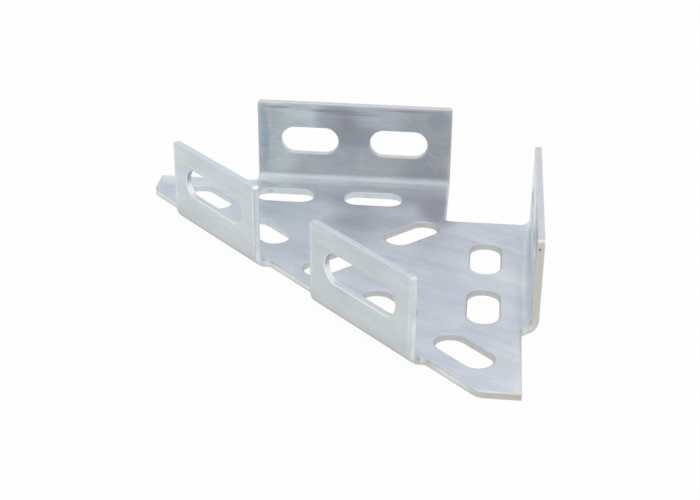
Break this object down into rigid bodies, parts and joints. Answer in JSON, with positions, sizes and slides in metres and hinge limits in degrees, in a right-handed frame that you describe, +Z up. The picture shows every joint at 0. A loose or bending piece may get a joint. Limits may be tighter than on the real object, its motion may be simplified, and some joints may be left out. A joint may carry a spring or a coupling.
{
  "type": "slotted corner bracket",
  "caption": "Folded sheet steel corner bracket: flat triangular base with flanges up two square edges, tabs up the long edge, and long bolt slots through every face.",
  "frame": {"origin": "middle of the square the bracket fits in, on the plate's underside", "axes": "+Z up off the plate's underside, with the two flanges standing on the +X and +Y sides"},
  "size_m": [0.178, 0.178, 0.0414],
  "materials": {
    "zinc_plated_steel": "bright zinc plate over rolled sheet"
  },
  "bodies": {
    "root": {"bracket": "zinc_plated_steel"}
  },
  "joints": []
}
